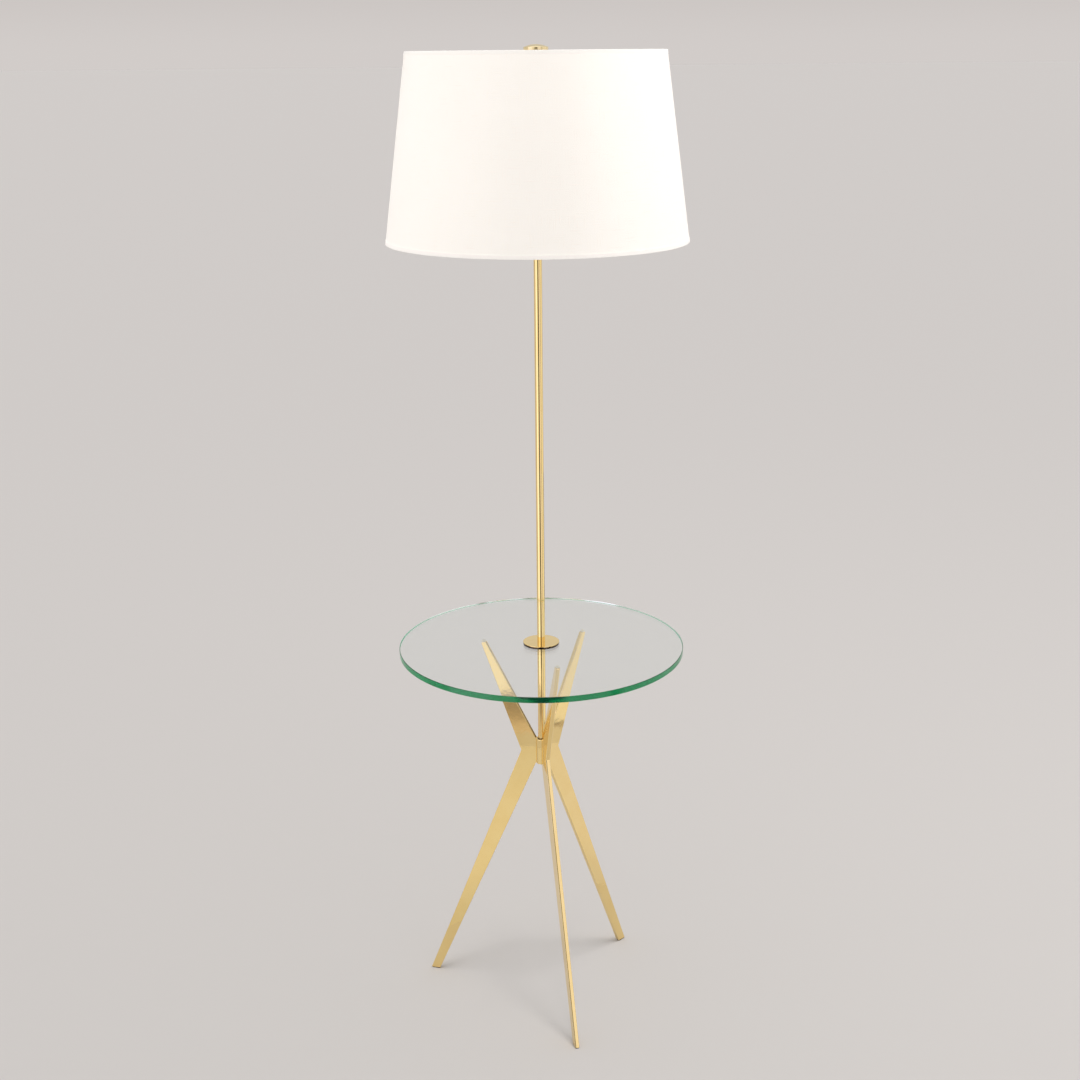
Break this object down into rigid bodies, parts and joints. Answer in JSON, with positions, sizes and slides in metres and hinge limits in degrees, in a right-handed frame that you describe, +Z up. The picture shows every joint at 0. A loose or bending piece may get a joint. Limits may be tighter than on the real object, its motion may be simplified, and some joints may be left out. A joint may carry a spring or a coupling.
{
  "type": "tripod floor lamp with round glass table",
  "caption": "Brass tripod floor lamp: bent flat legs carry a round glass table, and the stem goes on up through it to a tapered white drum shade with a turned finial.",
  "frame": {"origin": "on the floor, under the stem's axis", "axes": "+Z up along the stem, the front leg points to -Y, the harp lies in the XZ plane"},
  "size_m": [0.4571, 0.4572, 1.5508],
  "materials": {
    "brass": "polished, lacquered",
    "head_brass": "satin",
    "glass": "clear, ground edge",
    "clear_plastic": "clear, soft",
    "rubber": "matt",
    "steel": "zinc plated",
    "white_plastic": "stiff white sheet",
    "linen": "fine plain weave",
    "phenolic": "moulded",
    "paper": "pressed card",
    "bulb_glass": "frosted white",
    "bulb_metal": "bright"
  },
  "bodies": {
    "stand": {"leg_front": "brass", "leg_right": "brass", "leg_left": "brass", "foot_glide_front": "rubber", "foot_glide_right": "rubber", "foot_glide_left": "rubber", "glass_bumper_front": "clear_plastic", "glass_bumper_right": "clear_plastic", "glass_bumper_left": "clear_plastic", "hub_sleeve": "brass", "cord_bushing": "phenolic", "lower_stem": "brass", "stem_coupler": "head_brass", "upper_stem": "brass", "glass_top": "glass", "glass_bushing": "rubber", "table_collar": "brass", "stem_nipple": "steel", "check_ring": "head_brass", "harp_saddle": "head_brass", "lock_nut": "steel", "lock_washer": "steel", "socket_cap": "head_brass", "cap_screw": "steel", "socket_shell": "head_brass", "paper_liner": "paper", "socket_body": "phenolic", "terminal_screws": "head_brass", "screw_shell": "head_brass", "centre_contact": "head_brass", "harp_bow": "head_brass", "harp_stud": "head_brass"},
    "shade": {"spider_washer": "head_brass", "spider_arm_back": "head_brass", "spider_arm_left": "head_brass", "spider_arm_right": "head_brass", "top_ring": "head_brass", "bottom_ring": "head_brass", "shade_liner": "white_plastic", "shade_fabric": "linen", "top_hem": "linen", "bottom_hem": "linen"},
    "finial": {"finial": "brass"},
    "bulb": {"bulb_globe": "bulb_glass", "bulb_base": "bulb_metal", "bulb_insulator": "phenolic", "bulb_contact": "bulb_metal"},
    "switch": {"switch_shaft": "steel", "switch_knob": "phenolic"},
    "ferrule_left": {"harp_ferrule_left": "head_brass"},
    "ferrule_right": {"harp_ferrule_right": "head_brass"}
  },
  "joints": [
    {"name": "shade_turn", "type": "hinge", "parent": "stand", "child": "shade", "pos_m": [0, 0, 1.5277], "axis": [0, 0, 1], "continuous": true},
    {"name": "finial_turn", "type": "hinge", "parent": "stand", "child": "finial", "pos_m": [0, 0, 1.535], "axis": [0, 0, 1], "continuous": true},
    {"name": "bulb_turn", "type": "hinge", "parent": "stand", "child": "bulb", "pos_m": [0, 0, 1.35], "axis": [0, 0, 1], "continuous": true},
    {"name": "switch_turn", "type": "hinge", "parent": "stand", "child": "switch", "pos_m": [0, -0.02, 1.3219], "axis": [0, -1, 0], "continuous": true},
    {"name": "ferrule_left_slide", "type": "slide", "parent": "stand", "child": "ferrule_left", "axis": [0, 0, 1], "range_m": [0, 0.0125]},
    {"name": "ferrule_right_slide", "type": "slide", "parent": "stand", "child": "ferrule_right", "axis": [0, 0, 1], "range_m": [0, 0.0125]}
  ]
}
